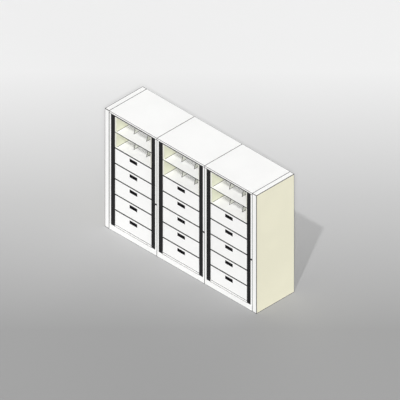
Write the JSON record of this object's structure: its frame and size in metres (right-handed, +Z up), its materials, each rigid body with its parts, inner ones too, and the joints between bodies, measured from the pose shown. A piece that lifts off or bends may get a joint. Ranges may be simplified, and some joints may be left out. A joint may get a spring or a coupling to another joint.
{
  "type": "rotary filing cabinet",
  "caption": "Bank of linked rotary filing units: double-faced cores with drawers and open shelves turn on vertical pivots inside steel casings with end boxes.",
  "frame": {"origin": "on the floor, under the middle of the bank", "axes": "+X along the bank to the right, -Y the front, +Z up"},
  "size_m": [3.166, 0.79, 2.134],
  "materials": {
    "white_paint": "white powder coat, satin",
    "shelf_paint": "white powder coat with a dark grey front edge",
    "cream_paint": "cream powder coat, satin",
    "black_plastic": "matte black moulding",
    "gasket_foam": "grey foam strip",
    "bearing_steel": "turned steel",
    "black_lock": "black zinc",
    "lock_steel": "darkened steel"
  },
  "bodies": {
    "casing": {"base_plinths": "white_paint", "top_panels": "white_paint", "jamb_posts": "white_paint", "pinch_guards": "black_plastic", "end_boxes": "white_paint", "end_skins": "cream_paint", "seam_gaskets": "gasket_foam", "rotor_bearings": "bearing_steel", "lock_barrels": "black_lock"},
    "rotor_1": {"rotor_1_side_panels": "cream_paint", "rotor_1_decks": "white_paint", "rotor_1_spine": "white_paint", "rotor_1_shelves": "shelf_paint", "rotor_1_dividers": "white_paint"},
    "drawer_1_1": {"drawer_1_1": "white_paint", "drawer_1_1_pull": "black_plastic"},
    "drawer_1_2": {"drawer_1_2": "white_paint", "drawer_1_2_pull": "black_plastic"},
    "drawer_1_3": {"drawer_1_3": "white_paint", "drawer_1_3_pull": "black_plastic"},
    "drawer_1_4": {"drawer_1_4": "white_paint", "drawer_1_4_pull": "black_plastic"},
    "drawer_1_5": {"drawer_1_5": "white_paint", "drawer_1_5_pull": "black_plastic"},
    "lock_plug_1": {"lock_plug_1": "lock_steel"},
    "lock_bolt_1": {"lock_bolt_1": "lock_steel"},
    "rotor_2": {"rotor_2_side_panels": "cream_paint", "rotor_2_decks": "white_paint", "rotor_2_spine": "white_paint", "rotor_2_shelves": "shelf_paint", "rotor_2_dividers": "white_paint"},
    "drawer_2_1": {"drawer_2_1": "white_paint", "drawer_2_1_pull": "black_plastic"},
    "drawer_2_2": {"drawer_2_2": "white_paint", "drawer_2_2_pull": "black_plastic"},
    "drawer_2_3": {"drawer_2_3": "white_paint", "drawer_2_3_pull": "black_plastic"},
    "drawer_2_4": {"drawer_2_4": "white_paint", "drawer_2_4_pull": "black_plastic"},
    "drawer_2_5": {"drawer_2_5": "white_paint", "drawer_2_5_pull": "black_plastic"},
    "lock_plug_2": {"lock_plug_2": "lock_steel"},
    "lock_bolt_2": {"lock_bolt_2": "lock_steel"},
    "rotor_3": {"rotor_3_side_panels": "cream_paint", "rotor_3_decks": "white_paint", "rotor_3_spine": "white_paint", "rotor_3_shelves": "shelf_paint", "rotor_3_dividers": "white_paint"},
    "drawer_3_1": {"drawer_3_1": "white_paint", "drawer_3_1_pull": "black_plastic"},
    "drawer_3_2": {"drawer_3_2": "white_paint", "drawer_3_2_pull": "black_plastic"},
    "drawer_3_3": {"drawer_3_3": "white_paint", "drawer_3_3_pull": "black_plastic"},
    "drawer_3_4": {"drawer_3_4": "white_paint", "drawer_3_4_pull": "black_plastic"},
    "drawer_3_5": {"drawer_3_5": "white_paint", "drawer_3_5_pull": "black_plastic"},
    "lock_plug_3": {"lock_plug_3": "lock_steel"},
    "lock_bolt_3": {"lock_bolt_3": "lock_steel"}
  },
  "joints": [
    {"name": "rotor_1_turn", "type": "hinge", "parent": "casing", "child": "rotor_1", "pos_m": [-0.997, 0, 0.13], "axis": [0, 0, 1], "continuous": true},
    {"name": "drawer_1_1_slide", "type": "slide", "parent": "rotor_1", "child": "drawer_1_1", "axis": [0, -1, 0], "range_m": [0, 0.3]},
    {"name": "drawer_1_2_slide", "type": "slide", "parent": "rotor_1", "child": "drawer_1_2", "axis": [0, -1, 0], "range_m": [0, 0.3]},
    {"name": "drawer_1_3_slide", "type": "slide", "parent": "rotor_1", "child": "drawer_1_3", "axis": [0, -1, 0], "range_m": [0, 0.3]},
    {"name": "drawer_1_4_slide", "type": "slide", "parent": "rotor_1", "child": "drawer_1_4", "axis": [0, -1, 0], "range_m": [0, 0.3]},
    {"name": "drawer_1_5_slide", "type": "slide", "parent": "rotor_1", "child": "drawer_1_5", "axis": [0, -1, 0], "range_m": [0, 0.3]},
    {"name": "lock_bolt_1_slide", "type": "slide", "parent": "casing", "child": "lock_bolt_1", "axis": [-1, 0, 0], "range_m": [0, 0.019]},
    {"name": "lock_1_turn", "type": "hinge", "parent": "casing", "child": "lock_plug_1", "pos_m": [-0.52, -0.39, 0.925], "axis": [0, -1, 0], "range_deg": [0, 90]},
    {"name": "rotor_2_turn", "type": "hinge", "parent": "casing", "child": "rotor_2", "pos_m": [0, 0, 0.13], "axis": [0, 0, 1], "continuous": true},
    {"name": "drawer_2_1_slide", "type": "slide", "parent": "rotor_2", "child": "drawer_2_1", "axis": [0, -1, 0], "range_m": [0, 0.3]},
    {"name": "drawer_2_2_slide", "type": "slide", "parent": "rotor_2", "child": "drawer_2_2", "axis": [0, -1, 0], "range_m": [0, 0.3]},
    {"name": "drawer_2_3_slide", "type": "slide", "parent": "rotor_2", "child": "drawer_2_3", "axis": [0, -1, 0], "range_m": [0, 0.3]},
    {"name": "drawer_2_4_slide", "type": "slide", "parent": "rotor_2", "child": "drawer_2_4", "axis": [0, -1, 0], "range_m": [0, 0.3]},
    {"name": "drawer_2_5_slide", "type": "slide", "parent": "rotor_2", "child": "drawer_2_5", "axis": [0, -1, 0], "range_m": [0, 0.3]},
    {"name": "lock_bolt_2_slide", "type": "slide", "parent": "casing", "child": "lock_bolt_2", "axis": [-1, 0, 0], "range_m": [0, 0.019]},
    {"name": "lock_2_turn", "type": "hinge", "parent": "casing", "child": "lock_plug_2", "pos_m": [0.477, -0.39, 0.925], "axis": [0, -1, 0], "range_deg": [0, 90]},
    {"name": "rotor_3_turn", "type": "hinge", "parent": "casing", "child": "rotor_3", "pos_m": [0.997, 0, 0.13], "axis": [0, 0, 1], "continuous": true},
    {"name": "drawer_3_1_slide", "type": "slide", "parent": "rotor_3", "child": "drawer_3_1", "axis": [0, -1, 0], "range_m": [0, 0.3]},
    {"name": "drawer_3_2_slide", "type": "slide", "parent": "rotor_3", "child": "drawer_3_2", "axis": [0, -1, 0], "range_m": [0, 0.3]},
    {"name": "drawer_3_3_slide", "type": "slide", "parent": "rotor_3", "child": "drawer_3_3", "axis": [0, -1, 0], "range_m": [0, 0.3]},
    {"name": "drawer_3_4_slide", "type": "slide", "parent": "rotor_3", "child": "drawer_3_4", "axis": [0, -1, 0], "range_m": [0, 0.3]},
    {"name": "drawer_3_5_slide", "type": "slide", "parent": "rotor_3", "child": "drawer_3_5", "axis": [0, -1, 0], "range_m": [0, 0.3]},
    {"name": "lock_bolt_3_slide", "type": "slide", "parent": "casing", "child": "lock_bolt_3", "axis": [-1, 0, 0], "range_m": [0, 0.019]},
    {"name": "lock_3_turn", "type": "hinge", "parent": "casing", "child": "lock_plug_3", "pos_m": [1.474, -0.39, 0.925], "axis": [0, -1, 0], "range_deg": [0, 90]}
  ],
  "couplings": [
    {"joint": "lock_1_turn", "follows": "lock_bolt_1_slide", "rad_per_m": 82.6},
    {"joint": "lock_2_turn", "follows": "lock_bolt_2_slide", "rad_per_m": 82.6},
    {"joint": "lock_3_turn", "follows": "lock_bolt_3_slide", "rad_per_m": 82.6}
  ]
}
